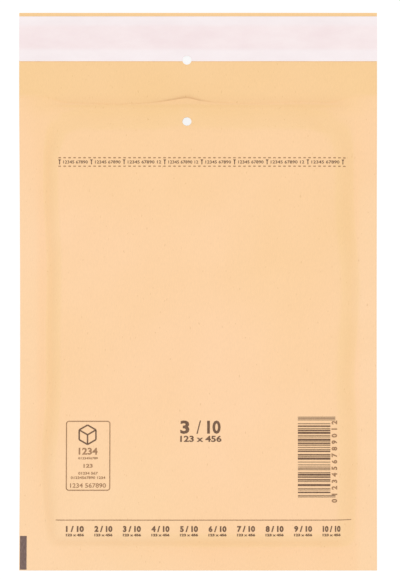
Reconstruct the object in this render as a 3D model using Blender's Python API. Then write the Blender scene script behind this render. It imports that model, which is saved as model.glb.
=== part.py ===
"""A padded envelope, lying empty on its back panel with the flap open.

A kraft cover, folded once at the bottom, holds a pouch of bubble film. The side
seams and the bottom seam are pressed flat, and the bubbles lift both panels off
each other between them. The flap carries an adhesive band under a release strip.
Lengths are in metres. X runs across the envelope, Y from the bottom fold to the
flap's tip, and Z up. The origin is on the floor, at the middle of the outline.
"""

import math

import bmesh
import bpy
from mathutils import Vector

# Outline of the cover, measured along the flat envelope
WIDTH = 0.170
BODY_LENGTH = 0.225
FLAP_LENGTH = 0.040

# Pressed seams, and how far the panels' slopes run beside them for each unit of rise.
# Over the last stretch before the mouth the side slopes widen, so the mouth is a lens.
# A slope with a lean above 1 is steepest near its seam and rounds off towards its top.
SIDE_SEAM = 0.011
BOTTOM_SEAM = 0.011
SIDE_SLOPE_RUN = 2.0
MOUTH_SLOPE_RUN = 5.0
BOTTOM_SLOPE_RUN = 2.0
SIDE_LEAN = 1.6
BOTTOM_LEAN = 2.0
WIDENING_LENGTH = 0.024
SEAM_HEIGHT = 0.0035

# Sheet thicknesses and the layer of glue between two sheets
PAPER = 0.0002
FILM = 0.0002
ADHESIVE = 0.0002
RELEASE_PAPER = 0.00015
GLUE = 0.0002

# Bubbles of the film, and the pocket that they leave between the two panels
BUBBLE_WIDTH = 0.0105
BUBBLE_SPACE = 0.0025
BUBBLE_HEIGHT = 0.0020
BUBBLE_TOP_SHARE = 0.66
BUBBLE_SIDES = 6
POCKET_GAP = 0.0043

# The front panel's mouth: its paper runs past the pouch and droops over its edge. The
# edge keeps its full length in the seams and in a lopsided peak over the hole.
LINING_SETBACK = 0.005
MOUTH_DROOP = 0.0024
MOUTH_SAG = 0.0030
SAG_RUN = 0.012
PEAK_LEFT_WIDTH = 0.011
PEAK_RIGHT_WIDTH = 0.0065
PEAK_POWER = 1.4
PEAK_LIFT_SHARE = 0.6

# The flap: scored a little beyond the mouth, it settles flat and lifts at its tip
FOLD_FROM_MOUTH = 0.0029
FLAP_SETTLE_SHARE = 0.8
FLAP_LIFT = 0.002

# The closing strip on the flap
RELEASE_WIDTH = 0.0213
RELEASE_FROM_TIP = 0.0017
ADHESIVE_WIDTH = 0.0114
ADHESIVE_FROM_TIP = 0.0060

# The hanging hole, punched once through the closed envelope, flap and all
HOLE_DIAMETER = 0.0043
HOLE_OFFSET = -0.0053
HOLE_FROM_MOUTH = 0.0117
HOLE_SIDES = 20

# How finely curved stretches are divided
SLOPE_STEPS = 6
WIDENING_STEPS = 4
FOLD_STEPS = 6
MOUTH_STEPS = 4
MOUTH_SPACING = 0.008
PEAK_STEPS = 3

# Lengths that follow from the ones above, counted from the bottom fold
TOTAL_LENGTH = BODY_LENGTH + FLAP_LENGTH
FOLD_LINE = BODY_LENGTH + FOLD_FROM_MOUTH
LINING_END = BODY_LENGTH - LINING_SETBACK
HALF_WIDTH = WIDTH / 2
POUCH_THICKNESS = 2 * (FILM + BUBBLE_HEIGHT) + POCKET_GAP
PAPER_OFFSET = GLUE + PAPER / 2
FRONT_RISE = PAPER + GLUE + POUCH_THICKNESS - SEAM_HEIGHT - FILM
SIDE_SLOPE = SIDE_SLOPE_RUN * FRONT_RISE
MOUTH_SLOPE = MOUTH_SLOPE_RUN * FRONT_RISE
BOTTOM_SLOPE = BOTTOM_SLOPE_RUN * FRONT_RISE
SEAM_LINE = HALF_WIDTH - SIDE_SEAM
FLAT_START = BOTTOM_SEAM + BOTTOM_SLOPE
WIDENING_START = LINING_END - WIDENING_LENGTH
FOLD_RADIUS = FILM + PAPER_OFFSET
FOLD_CENTRE = FOLD_RADIUS + PAPER / 2
HOLE_LINE = BODY_LENGTH - HOLE_FROM_MOUTH
FLAP_HOLE_LINE = 2 * FOLD_LINE - HOLE_LINE
ADHESIVE_START = TOTAL_LENGTH - ADHESIVE_FROM_TIP - ADHESIVE_WIDTH
ADHESIVE_END = TOTAL_LENGTH - ADHESIVE_FROM_TIP
RELEASE_START = TOTAL_LENGTH - RELEASE_FROM_TIP - RELEASE_WIDTH
RELEASE_END = TOTAL_LENGTH - RELEASE_FROM_TIP
WELD_DISTANCE = 1e-6
SHARP_ANGLE = math.radians(40)

KRAFT = ("kraft", (0.93, 0.64, 0.34, 1.0), 0.75)
CLEAR_FILM = ("bubble_film", (0.86, 0.88, 0.88, 1.0), 0.25)
HOT_MELT = ("adhesive", (0.86, 0.80, 0.70, 1.0), 0.35)
RELEASE = ("release_paper", (0.92, 0.80, 0.80, 1.0), 0.4)


def clear_scene():
    for obj in list(bpy.data.objects):
        bpy.data.objects.remove(obj, do_unlink=True)


def make_material(finish):
    name, colour, roughness = finish
    material = bpy.data.materials.new(name)
    material.use_nodes = True
    shader = material.node_tree.nodes["Principled BSDF"]
    shader.inputs["Base Color"].default_value = colour
    shader.inputs["Roughness"].default_value = roughness
    shader.inputs["Metallic"].default_value = 0.0
    material.diffuse_color = colour
    return material


def make_object(name, bm, finish, parent):
    """Puts a bmesh into the scene as a shaded object under the parent empty."""
    bmesh.ops.recalc_face_normals(bm, faces=bm.faces)
    mesh = bpy.data.meshes.new(name)
    bm.to_mesh(mesh)
    bm.free()
    mesh.materials.append(make_material(finish))
    mesh.shade_smooth()
    mesh.set_sharp_from_angle(angle=SHARP_ANGLE)
    obj = bpy.data.objects.new(name, mesh)
    obj.parent = parent
    bpy.context.scene.collection.objects.link(obj)
    return obj


def thicken(obj, thickness):
    """Gives a sheet its thickness, half on each side of the modelled surface."""
    solidify = obj.modifiers.new("thickness", "SOLIDIFY")
    solidify.thickness = thickness
    solidify.offset = 0.0
    solidify.use_even_offset = True
    solidify.use_quality_normals = True


def smooth_step(t):
    t = min(max(t, 0.0), 1.0)
    return t * t * (3 - 2 * t)


def point(x, along, z):
    """A point from its distance along the envelope, counted from the bottom fold."""
    return Vector((x, along - TOTAL_LENGTH / 2, z))


def side_slope(along):
    """Width of the side slopes: even along the body, and wider towards the mouth."""
    share = smooth_step((along - WIDENING_START) / WIDENING_LENGTH)
    return SIDE_SLOPE + (MOUTH_SLOPE - SIDE_SLOPE) * share


def flat_line(along):
    """Half the width of the flat between the two side slopes."""
    return SEAM_LINE - side_slope(along)


def across(column, along):
    """X of a column: 0 to 1 over half of the flat, 1 to 2 over a slope, 3 at the edge."""
    size = abs(column)
    if size <= 1:
        x = flat_line(along) * size
    elif size <= 2:
        x = flat_line(along) + side_slope(along) * (size - 1)
    else:
        x = SEAM_LINE + SIDE_SEAM * (size - 2)
    return math.copysign(x, column)


def slope_rise(t, lean):
    """Share of its height that a slope has reached, for t from 0 at its seam to 1."""
    t = min(max(t, 0.0), 1.0)
    return smooth_step(1 - (1 - t) ** lean)


def side_puff(x, along):
    """How far a panel has risen from the side seams: 0 in them, 1 between the slopes."""
    return slope_rise((SEAM_LINE - abs(x)) / side_slope(along), SIDE_LEAN)


def puff(x, along):
    return side_puff(x, along) * slope_rise((along - BOTTOM_SEAM) / BOTTOM_SLOPE, BOTTOM_LEAN)


def back_film(x, along):
    """Height of the pouch's outer face on the back panel, which lies on the floor."""
    seam = SEAM_HEIGHT - FILM
    flat = PAPER + GLUE
    return seam + (flat - seam) * puff(x, along)


def front_film(x, along):
    """Height of the pouch's outer face on the front panel."""
    seam = SEAM_HEIGHT + FILM
    flat = PAPER + GLUE + POUCH_THICKNESS
    return seam + (flat - seam) * puff(x, along)


def back_paper(x, along):
    return back_film(x, along) - PAPER_OFFSET


def front_paper(x, along):
    return front_film(x, along) + PAPER_OFFSET


def peak(x):
    """1 over the punched hole, where the mouth stands up in a small peak."""
    width = PEAK_LEFT_WIDTH if x < HOLE_OFFSET else PEAK_RIGHT_WIDTH
    return math.exp(-((abs(x - HOLE_OFFSET) / width) ** PEAK_POWER))


def mouth_edge(x):
    """Where the front panel ends: its rise pulls it back, except at seams and peak."""
    return BODY_LENGTH - MOUTH_SAG * smooth_step((SEAM_LINE - abs(x)) / SAG_RUN) * (1 - peak(x))


def flap_paper(x, along):
    """Height of the flap: it keeps the back panel's dished section, and flattens out."""
    settled = FLAP_SETTLE_SHARE * (along - BODY_LENGTH) / FLAP_LENGTH
    floor = PAPER / 2
    dish = (back_paper(x, BODY_LENGTH) - floor) * (1 - settled)
    lift = FLAP_LIFT * max(0.0, along - FOLD_LINE) / (TOTAL_LENGTH - FOLD_LINE)
    return floor + dish + lift


def slope_columns():
    """Columns from edge to edge: seams and slopes divided, the flat middle not."""
    right = [1 + i / SLOPE_STEPS for i in range(SLOPE_STEPS + 1)] + [3]
    return [-column for column in reversed(right)] + right


def mouth_columns():
    """The slope columns, with more between them to carry the wavy mouth and its peak."""
    flat = flat_line(BODY_LENGTH)
    count = math.ceil(2 * flat / MOUTH_SPACING)
    even = [flat * (2 * i / count - 1) for i in range(1, count)]
    near = [HOLE_OFFSET]
    for reach in (-2 * PEAK_LEFT_WIDTH, 2 * PEAK_RIGHT_WIDTH):
        near += [HOLE_OFFSET + reach * (i + 1) / PEAK_STEPS for i in range(PEAK_STEPS)]
    space = MOUTH_SPACING / 3
    apart = [x for x in even if x < min(near) - space or x > max(near) + space]
    return sorted(slope_columns() + [x / flat for x in apart + near])


def bottom_slope_rows():
    return [BOTTOM_SEAM + BOTTOM_SLOPE * i / SLOPE_STEPS for i in range(SLOPE_STEPS + 1)]


def widening_rows():
    """Where rows cross the stretch on which the side slopes widen, up to the film's end."""
    steps = [i / WIDENING_STEPS for i in range(WIDENING_STEPS + 1)]
    return [WIDENING_START + WIDENING_LENGTH * step for step in steps]


def add_row(bm, columns, place):
    """A row of vertices, keyed by column. place gives (x, along, height) for a column."""
    return {column: bm.verts.new(point(*place(column))) for column in columns}


def add_quad(bm, corners):
    """Two triangles, parted inwards from the corner nearest the envelope's own corner.

    Paper and film part their faces alike, so they stay clear of each other where the
    side and bottom slopes meet and a face isn't flat.
    """
    first = min(range(4), key=lambda i: (corners[i].co.y, -abs(corners[i].co.x)))
    a, b, c, d = corners[first:] + corners[:first]
    bm.faces.new((a, b, c))
    bm.faces.new((a, c, d))


def stitch(bm, low, high):
    """Faces between two rows. The high row may have more columns than the low one."""
    for left, right in zip(sorted(low), sorted(low)[1:]):
        top = [high[at] for at in sorted(high, reverse=True) if left <= at <= right]
        corners = [low[left], low[right], *top]
        if len(corners) == 4:
            add_quad(bm, corners)
        else:
            bm.faces.new(corners)


def stitch_all(bm, rows):
    for low, high in zip(rows, rows[1:]):
        stitch(bm, low, high)


def level_row(bm, columns, along, height):
    """A row that runs straight across the envelope, at the height of a surface."""

    def place(column):
        x = across(column, along)
        return x, along, height(x, along)

    return add_row(bm, columns, place)


def fold_row(bm, columns, angle):
    """A row on the bottom fold. Angle 0 is its start below, and pi its end above."""
    along = FOLD_CENTRE - FOLD_RADIUS * math.sin(angle)
    height = SEAM_HEIGHT - FOLD_RADIUS * math.cos(angle)
    return add_row(bm, columns, lambda column: (across(column, along), along, height))


def mouth_row(bm, columns, share):
    """A row of the paper that droops over the pouch's edge, from 0 to 1 at the mouth."""

    def place(column):
        x = across(column, BODY_LENGTH)
        along = LINING_END + (mouth_edge(x) - LINING_END) * share
        droop = MOUTH_DROOP * side_puff(x, along) * (1 - PEAK_LIFT_SHARE * peak(x))
        return x, along, front_paper(x, along) - droop * smooth_step(share)

    return add_row(bm, columns, place)


def build_cover(parent):
    """One sheet of kraft: flap, back panel, bottom fold, front panel and mouth."""
    bm = bmesh.new()
    columns = slope_columns()
    flap_lines = [RELEASE_END, ADHESIVE_END, ADHESIVE_START, RELEASE_START, FOLD_LINE]
    rows = [level_row(bm, columns, at, flap_paper) for at in [TOTAL_LENGTH, *flap_lines]]
    body_lines = bottom_slope_rows() + widening_rows()
    rows += [
        level_row(bm, columns, at, back_paper) for at in reversed([*body_lines, BODY_LENGTH])
    ]
    rows += [fold_row(bm, columns, math.pi * i / FOLD_STEPS) for i in range(FOLD_STEPS + 1)]
    rows += [level_row(bm, columns, at, front_paper) for at in body_lines[:-1]]
    fine = mouth_columns()
    rows += [mouth_row(bm, fine, i / MOUTH_STEPS) for i in range(MOUTH_STEPS + 1)]
    stitch_all(bm, rows)
    cover = make_object("kraft_cover", bm, KRAFT, parent)
    thicken(cover, PAPER)
    return cover


def bubble_centres():
    """Staggered rows of bubbles on the flat of a panel, clear of the punched hole."""
    pitch = BUBBLE_WIDTH + BUBBLE_SPACE
    row_pitch = pitch * math.sin(math.radians(60))
    length = LINING_END - FLAT_START - BUBBLE_SPACE
    rows = max(1, int((length - BUBBLE_WIDTH) / row_pitch) + 1)
    first = FLAT_START + (LINING_END - FLAT_START - (rows - 1) * row_pitch) / 2
    burst_radius = (HOLE_DIAMETER + BUBBLE_WIDTH + BUBBLE_SPACE) / 2
    centres = []
    for row in range(rows):
        along = first + row * row_pitch
        room = flat_line(along + pitch / 2) - pitch / 2
        offset = pitch / 2 * (row % 2)
        reach = int((room + offset) / pitch)
        for i in range(-reach, reach + 1):
            x = i * pitch + offset
            burst = math.hypot(x - HOLE_OFFSET, along - HOLE_LINE) < burst_radius
            if abs(x) <= room and not burst:
                centres.append((x, along))
    return centres


def ring(bm, centre, radius, height):
    """The corners of one bubble at a height, as a list of vertices."""
    corners = []
    for i in range(BUBBLE_SIDES):
        turn = 2 * math.pi * (i + 0.5) / BUBBLE_SIDES
        x = centre[0] + radius * math.cos(turn)
        along = centre[1] + radius * math.sin(turn)
        corners.append(bm.verts.new(point(x, along, height)))
    return corners


def loop_edges(bm, corners):
    return [bm.edges.new(pair) for pair in zip(corners, corners[1:] + corners[:1])]


def add_bubbled_film(bm, film_height, top_height):
    """The flat of one panel: a film filled in around its bubbles, and the bubbles."""
    lines = [FLAT_START, *widening_rows()]
    right = [bm.verts.new(point(flat_line(at), at, film_height)) for at in lines]
    left = [bm.verts.new(point(-flat_line(at), at, film_height)) for at in lines]
    edges = loop_edges(bm, right + left[::-1])
    for centre in bubble_centres():
        base = ring(bm, centre, BUBBLE_WIDTH / 2, film_height)
        top = ring(bm, centre, BUBBLE_WIDTH / 2 * BUBBLE_TOP_SHARE, top_height)
        edges += loop_edges(bm, base)
        for i in range(BUBBLE_SIDES):
            j = (i + 1) % BUBBLE_SIDES
            bm.faces.new((base[i], base[j], top[j], top[i]))
        bm.faces.new(top)
    bmesh.ops.triangle_fill(bm, use_beauty=True, edges=edges, normal=(0, 0, 1))


def pouch_rows(bm, columns, height, starts):
    """Rows of one of the pouch's faces, up to its open end."""
    return [level_row(bm, columns, at, height) for at in [*starts, *widening_rows()]]


def inside_back(x, along):
    return back_film(x, along) + FILM


def inside_front(x, along):
    return front_film(x, along) - FILM


def add_pouch_outside(bm):
    """The pouch's outer faces, joined along both sides and across the bottom."""
    columns = slope_columns()
    starts = [FOLD_CENTRE, *bottom_slope_rows()]
    back = pouch_rows(bm, columns, back_film, starts)
    front = pouch_rows(bm, columns, front_film, starts)
    stitch_all(bm, back)
    stitch_all(bm, front)
    stitch(bm, back[0], front[0])
    for side in (columns[0], columns[-1]):
        for i in range(len(back) - 1):
            bm.faces.new((back[i][side], back[i + 1][side], front[i + 1][side], front[i][side]))
    return back[-1], front[-1]


def add_pouch_inside(bm):
    """The faces of the pocket. They meet along the seams, and the bubbles are on them."""
    columns = slope_columns()[1:-1]
    ends = []
    for height in (inside_back, inside_front):
        rows = pouch_rows(bm, columns, height, bottom_slope_rows())
        stitch_all(bm, rows[: SLOPE_STEPS + 1])
        for half in (columns[: len(columns) // 2], columns[len(columns) // 2 :]):
            stitch_all(bm, [{at: row[at] for at in half} for row in rows[SLOPE_STEPS:]])
        ends.append(rows[-1])
    back_level = inside_back(0, LINING_END)
    front_level = inside_front(0, LINING_END)
    add_bubbled_film(bm, back_level, back_level + BUBBLE_HEIGHT)
    add_bubbled_film(bm, front_level, front_level - BUBBLE_HEIGHT)
    return ends


def close_pouch_end(bm, outside, inside):
    """The cut edge of the film all round the pouch's open end."""
    for outer, inner in zip(outside, inside):
        stitch(bm, inner, {at: outer[at] for at in inner})
    for edge, seam in ((-3, -2), (3, 2)):
        back, front = outside
        bm.faces.new((back[edge], back[seam], inside[0][seam], front[seam], front[edge]))


def build_lining(parent):
    """The pouch of bubble film, open towards the mouth, with the bubbles inside it."""
    bm = bmesh.new()
    outside = add_pouch_outside(bm)
    inside = add_pouch_inside(bm)
    close_pouch_end(bm, outside, inside)
    bmesh.ops.remove_doubles(bm, verts=bm.verts, dist=WELD_DISTANCE)
    return make_object("bubble_lining", bm, CLEAR_FILM, parent)


def build_flap_strip(name, lines, lift, thickness, finish, parent):
    """A strip across the flap, through these lines, this far above the paper's middle."""

    def height(x, along):
        return flap_paper(x, along) + lift

    bm = bmesh.new()
    columns = slope_columns()
    stitch_all(bm, [level_row(bm, columns, at, height) for at in lines])
    strip = make_object(name, bm, finish, parent)
    thicken(strip, thickness)
    return strip


def make_punch(name, along, parent):
    """The punch that cuts a hanging hole. It is a helper, and isn't part of the envelope."""
    bm = bmesh.new()
    reach = 3 * (PAPER + POUCH_THICKNESS)
    bmesh.ops.create_cone(
        bm,
        cap_ends=True,
        segments=HOLE_SIDES,
        radius1=HOLE_DIAMETER / 2,
        radius2=HOLE_DIAMETER / 2,
        depth=reach,
    )
    mesh = bpy.data.meshes.new(name)
    bm.to_mesh(mesh)
    bm.free()
    punch = bpy.data.objects.new(name, mesh)
    punch.location = point(HOLE_OFFSET, along, 0)
    punch.parent = parent
    punch.hide_render = True
    punch.display_type = "WIRE"
    bpy.context.scene.collection.objects.link(punch)
    return punch


def punch_through(obj, punch):
    cut = obj.modifiers.new(punch.name, "BOOLEAN")
    cut.operation = "DIFFERENCE"
    cut.solver = "EXACT"
    cut.object = punch


def main():
    clear_scene()
    envelope = bpy.data.objects.new("padded_envelope", None)
    bpy.context.scene.collection.objects.link(envelope)

    cover = build_cover(envelope)
    lining = build_lining(envelope)
    adhesive_lift = PAPER / 2 + GLUE + ADHESIVE / 2
    build_flap_strip(
        "adhesive_band",
        [ADHESIVE_START, ADHESIVE_END],
        adhesive_lift,
        ADHESIVE,
        HOT_MELT,
        envelope,
    )
    release = build_flap_strip(
        "release_strip",
        [RELEASE_START, ADHESIVE_START, ADHESIVE_END, RELEASE_END],
        adhesive_lift + ADHESIVE / 2 + GLUE + RELEASE_PAPER / 2,
        RELEASE_PAPER,
        RELEASE,
        envelope,
    )

    body_punch = make_punch("body_punch", HOLE_LINE, envelope)
    flap_punch = make_punch("flap_punch", FLAP_HOLE_LINE, envelope)
    punch_through(cover, body_punch)
    punch_through(cover, flap_punch)
    punch_through(lining, body_punch)
    punch_through(release, flap_punch)


main()
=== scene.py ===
"""The looks of a padded envelope that lies empty on its back panel with the flap open.

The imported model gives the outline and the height. The paper, the bubble film and the
closing strip are made here as fine sheets on the same surfaces, and print is laid on top.
X runs across the envelope, Y from the bottom fold to the flap's tip, and Z up. A place
along the envelope is counted from the bottom fold. Lengths are in metres.
"""

import math

import bmesh
import bpy
import numpy as np
from mathutils import Matrix, Vector


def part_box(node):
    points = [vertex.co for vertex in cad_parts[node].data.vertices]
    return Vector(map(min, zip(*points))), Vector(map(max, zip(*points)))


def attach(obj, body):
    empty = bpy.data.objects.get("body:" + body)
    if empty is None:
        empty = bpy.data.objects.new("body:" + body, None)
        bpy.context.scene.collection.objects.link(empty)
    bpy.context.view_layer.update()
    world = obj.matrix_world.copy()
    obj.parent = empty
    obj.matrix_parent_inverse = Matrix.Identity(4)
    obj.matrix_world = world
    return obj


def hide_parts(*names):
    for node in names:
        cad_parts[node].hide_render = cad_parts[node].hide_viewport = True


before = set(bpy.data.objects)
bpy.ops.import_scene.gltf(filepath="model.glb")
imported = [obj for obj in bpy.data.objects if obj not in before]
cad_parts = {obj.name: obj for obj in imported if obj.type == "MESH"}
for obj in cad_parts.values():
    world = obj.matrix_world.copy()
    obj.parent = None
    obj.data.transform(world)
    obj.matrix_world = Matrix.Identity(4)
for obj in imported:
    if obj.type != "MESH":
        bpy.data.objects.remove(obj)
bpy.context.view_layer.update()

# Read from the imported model
COVER_LOW, COVER_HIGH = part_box("kraft_cover")
LINING_LOW, LINING_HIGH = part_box("bubble_lining")
ADHESIVE_LOW, ADHESIVE_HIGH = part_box("adhesive_band")
RELEASE_LOW, RELEASE_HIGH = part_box("release_strip")
HALF_WIDTH = COVER_HIGH.x
HALF_LENGTH = COVER_HIGH.y
TOTAL_LENGTH = 2 * HALF_LENGTH
LINING_END = LINING_HIGH.y + HALF_LENGTH
POUCH_BOTTOM = LINING_LOW.z
POUCH_TOP = LINING_HIGH.z

# Sizes that the model is built to
BODY_LENGTH = 0.225
SIDE_SEAM = 0.011
SIDE_SLOPE = 0.0108
MOUTH_SLOPE = 0.027
WIDENING_LENGTH = 0.024
BOTTOM_SEAM = 0.011
BOTTOM_SLOPE = 0.0108
SEAM_HEIGHT = 0.0035
PAPER = 0.0002
FILM = 0.0002
GLUE = 0.0002
BUBBLE_WIDTH = 0.0105
BUBBLE_SPACE = 0.0025
BUBBLE_HEIGHT = 0.0020
HOLE_RADIUS = 0.00215
HOLE_X = -0.0053
HOLE_LINE = BODY_LENGTH - 0.0117
FOLD_LINE = BODY_LENGTH + 0.0029
FLAP_HOLE_LINE = 2 * FOLD_LINE - HOLE_LINE

# The thickness that paper and film are drawn with, and the gap where they are pressed
SHEET = 0.00010
FILM_SHEET = 0.00018
SHEET_GAP = 0.00001

# The slopes lean towards the seams: steep beside them, and rounded off above
SIDE_LEAN = 1.6
BOTTOM_LEAN = 2.0
RIGHT_SEAM_SHIFT = 0.0020
RIGHT_SLOPE_EXTRA = 0.0045

# How far the body draws its edges in
PULL_IN_LEFT = 0.0005
PULL_IN_RIGHT = 0.0002

# The mouth, which rests almost closed: its lip comes down and the back panel comes up
CLOSING_START = 0.207
PAST_FILM_RUN = 0.0014
MOUTH_SAG = 0.0030
SAG_RUN = 0.012
PEAK_LEFT = 0.011
PEAK_RIGHT = 0.0065
PEAK_POWER = 1.4
PEAK_SHARE = 0.72
PEAK_LIFT = 0.0011

# Creases in the front panel: (start, end, width, height), each end as (x, along)
CREASES = (
    ((0.0540, 0.2150), (0.0640, 0.2075), 0.0016, -0.00035),
    ((0.0480, 0.2120), (0.0610, 0.2035), 0.0030, 0.00025),
    ((-0.0700, 0.2220), (-0.0600, 0.2155), 0.0020, -0.00030),
    ((-0.0040, 0.2235), (-0.0150, 0.2185), 0.0022, -0.00022),
    ((-0.0640, 0.2060), (-0.0655, 0.1930), 0.0018, 0.00020),
)
CREASE_REACH = 1.2

# The flap, which settles towards the floor and lifts at its tip
FLAP_SETTLE = 0.8
FLAP_LIFT = 0.002

# The soft unevenness of seams, lip and sheets: (wavelength, height)
SEAM_WAVES = ((0.080, 0.0007),)
LIP_WAVES = ((0.045, 0.00025),)
FRONT_WAVES = ((0.070, 0.00014), (0.026, 0.00004))
FRONT_SETTLE = 0.00025
FLAP_WAVES = ((0.060, 0.00018), (0.024, 0.00004))
FLAP_WAVE_RUN = 0.012
STRIP_WAVES = ((0.030, 0.00004), (0.009, 0.00002))
QUILT_HEIGHT = 0.00008
WAVE_COUNT = 14
WAVE_SPREAD = (0.7, 1.4)

SEAM_LINE = HALF_WIDTH - SIDE_SEAM
WIDENING_START = LINING_END - WIDENING_LENGTH
FLAT_START = BOTTOM_SEAM + BOTTOM_SLOPE
BUBBLE_PITCH = BUBBLE_WIDTH + BUBBLE_SPACE
ROW_PITCH = BUBBLE_PITCH * math.sin(math.radians(60))
PAPER_OFFSET = GLUE + PAPER / 2
PRESSED_OFFSET = SHEET_GAP + SHEET / 2
FILM_OFFSET = -FILM / 2


def smooth_step(t):
    t = np.clip(t, 0.0, 1.0)
    return t * t * (3 - 2 * t)


def slope_rise(t, lean):
    """Share of its height that a slope has reached, from its seam to its top."""
    t = np.clip(t, 0.0, 1.0)
    return smooth_step(1 - (1 - t) ** lean)


def waves(x, along, pattern, seed):
    """A smooth uneven surface: sums of flat waves in many directions."""
    random = np.random.RandomState(seed)
    height = np.zeros(np.shape(x))
    for length, size in pattern:
        for _ in range(WAVE_COUNT):
            turn = random.uniform(0, 2 * math.pi)
            phase = random.uniform(0, 2 * math.pi)
            pace = 2 * math.pi / (length * random.uniform(*WAVE_SPREAD))
            travel = x * math.cos(turn) + along * math.sin(turn)
            height = height + size * math.sqrt(2 / WAVE_COUNT) * np.sin(pace * travel + phase)
    return height


def quilt(x, along):
    """The faint swelling of the paper over each bubble, on the film's staggered grid."""
    total = 0
    for turn in (0, 60, 120):
        angle = math.radians(turn)
        travel = x * math.cos(angle) + along * math.sin(angle)
        total = total + np.cos(2 * math.pi * travel / ROW_PITCH)
    return QUILT_HEIGHT * total / 3


def side_slope(along):
    share = smooth_step((along - WIDENING_START) / WIDENING_LENGTH)
    return SIDE_SLOPE + (MOUTH_SLOPE - SIDE_SLOPE) * share


def side_puff(x, along):
    """How far a panel has risen from its side seams: 0 in them, 1 between the slopes."""
    on_right = x > 0
    seam_line = SEAM_LINE + RIGHT_SEAM_SHIFT * on_right
    wander = waves(0 * x, along + np.sign(x), SEAM_WAVES, seed=6)
    run = side_slope(along) + RIGHT_SLOPE_EXTRA * on_right
    return slope_rise((seam_line + wander - np.abs(x)) / run, SIDE_LEAN)


def puff(x, along):
    bottom = slope_rise((along - BOTTOM_SEAM) / BOTTOM_SLOPE, BOTTOM_LEAN)
    return side_puff(x, along) * bottom


def peak(x):
    """1 over the punched hole, where the lip stands up a little, and less beside it."""
    width = np.where(x < HOLE_X, PEAK_LEFT, PEAK_RIGHT)
    return np.exp(-(np.abs((x - HOLE_X) / width) ** PEAK_POWER))


def mouth_edge(x):
    """Where the front panel ends. Its rise pulls it back, except at seams and peak."""
    sag = MOUTH_SAG * smooth_step((SEAM_LINE - np.abs(x)) / SAG_RUN) * (1 - PEAK_SHARE * peak(x))
    return BODY_LENGTH - sag + waves(x, 0 * x, LIP_WAVES, seed=5)


def closing(x, along):
    """How far the mouth has come together: 0 in the body, and 1 at the lip."""
    return smooth_step((along - CLOSING_START) / (mouth_edge(x) - CLOSING_START))


def back_height(x, along):
    """The pouch's outer face on the back panel."""
    seam = SEAM_HEIGHT - FILM
    swell = puff(x, along) * (1 - closing(x, along))
    return seam + (POUCH_BOTTOM - seam) * swell


def creases(x, along):
    """Short folds pressed into the front panel, each fading out at its ends."""
    height = 0 * x
    for (x1, along1), (x2, along2), width, size in CREASES:
        length = math.hypot(x2 - x1, along2 - along1)
        dx, dy = (x2 - x1) / length, (along2 - along1) / length
        travel = ((x - x1) * dx + (along - along1) * dy) / length
        away = (x - x1) * dy - (along - along1) * dx
        share = smooth_step(1 - 2 * np.abs(travel - 0.5) / CREASE_REACH)
        height = height + size * share * np.exp(-((away / width) ** 2))
    return height


def front_height(x, along):
    """The pouch's outer face on the front panel, with the unevenness it lies in."""
    seam = SEAM_HEIGHT + FILM
    body = puff(x, along)
    swell = body * (1 - closing(x, along))
    near_lip = smooth_step((along - HOLE_LINE) / (BODY_LENGTH - HOLE_LINE))
    lift = PEAK_LIFT * peak(x) * near_lip
    uneven = waves(x, along, FRONT_WAVES, seed=1) + quilt(x, along) - FRONT_SETTLE
    rise = (POUCH_TOP - seam) * swell
    return seam + rise + lift + swell * uneven + body * creases(x, along)


def paper_offset(x, along):
    """From the pouch's outer face to the paper's middle.

    The seams press the paper onto the film, and past the film it meets the other panel's.
    """
    over_film = PRESSED_OFFSET + (PAPER_OFFSET - PRESSED_OFFSET) * puff(x, along)
    past_film = smooth_step((along - LINING_END) / PAST_FILM_RUN)
    touching = (SHEET + SHEET_GAP) / 2 - FILM
    return over_film + (touching - over_film) * past_film


def front_paper(x, along):
    return front_height(x, along) + paper_offset(x, along)


def back_paper(x, along):
    height = back_height(x, along) - paper_offset(x, along)
    return np.maximum(height, COVER_LOW.z + PAPER / 2)


def front_film(x, along):
    return front_height(x, along) + FILM_OFFSET


def back_film(x, along):
    return back_height(x, along) - FILM_OFFSET


def in_frame(x, along, z):
    """Points in the shared frame."""
    return np.stack([x, along - HALF_LENGTH, z], axis=-1)


def pulled_in(x, along):
    """X once the body has drawn its edges in, most halfway along it."""
    reach = np.where(x > 0, PULL_IN_RIGHT, PULL_IN_LEFT)
    share = np.clip(along / BODY_LENGTH, 0, 1)
    return x * (1 - reach / HALF_WIDTH * np.sin(math.pi * share))


def flap_paper(x, along):
    """Height of the flap: it leaves the mouth's height, settles, and lifts at its tip."""
    settled = FLAP_SETTLE * smooth_step((along - BODY_LENGTH) / (TOTAL_LENGTH - BODY_LENGTH))
    start = back_paper(x, BODY_LENGTH)
    lift = FLAP_LIFT * np.maximum(0, along - FOLD_LINE) / (TOTAL_LENGTH - FOLD_LINE)
    share = smooth_step((along - BODY_LENGTH) / FLAP_WAVE_RUN)
    uneven = np.abs(waves(x, along, FLAP_WAVES, seed=2)) * share
    return PAPER / 2 + (start - PAPER / 2) * (1 - settled) + lift + uneven


# How sheets are divided: the spacing of grid lines over flats, slopes, seams and mouth
FLAT_SPACING = 0.0016
BACK_SPACING = 0.0026
MOUTH_SPACING = 0.0007
SLOPE_SPACING = 0.0009
SEAM_SPACING = 0.0022
FOLD_STEPS = 8
LINING_FOLD_END = 0.0006
PUNCH_MARGIN = 0.0022
PUNCH_RINGS = (0.3, 0.6, 0.93, 1.0)
CRISP_ANGLE = math.radians(60)


def spaced(start, end, spacing):
    """Places from start up to end, which is left out, about this far apart."""
    count = max(1, round(abs(end - start) / spacing))
    return [start + (end - start) * i / count for i in range(count)]


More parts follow.
